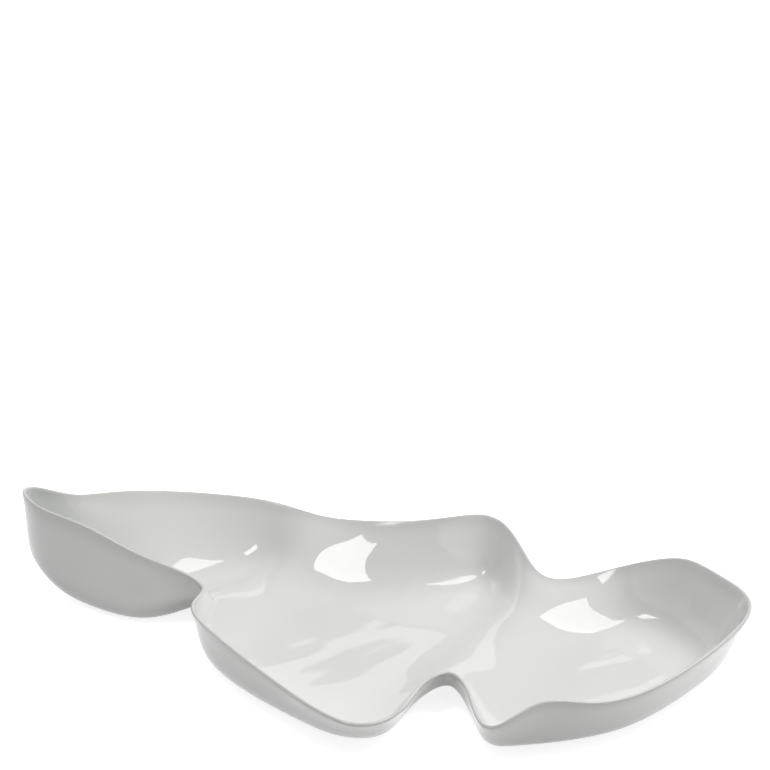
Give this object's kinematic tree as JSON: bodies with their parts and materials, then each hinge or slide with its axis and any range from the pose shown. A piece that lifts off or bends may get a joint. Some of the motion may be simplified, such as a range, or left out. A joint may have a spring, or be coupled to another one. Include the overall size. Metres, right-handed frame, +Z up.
{
  "type": "leaf shaped serving platter",
  "caption": "Long leaf shaped serving platter in glazed ceramic, with scooped lobes that run into each other over soft ridges, inside a thin rim that rises and dips.",
  "frame": {"origin": "middle of the platter's box in plan, on the surface that it stands on", "axes": "+X from the leaf's tip towards its base, +Z up, -Y towards the front, where the deeper notches are"},
  "size_m": [0.5062, 0.2776, 0.0703],
  "materials": {
    "glaze": "glossy off-white glaze over a pale fired body",
    "pad": "soft satin pale grey"
  },
  "bodies": {
    "root": {"platter_shell": "glaze", "tip_pad": "pad", "front_pad": "pad", "back_pad": "pad", "base_front_pad": "pad", "base_back_pad": "pad"}
  },
  "joints": []
}
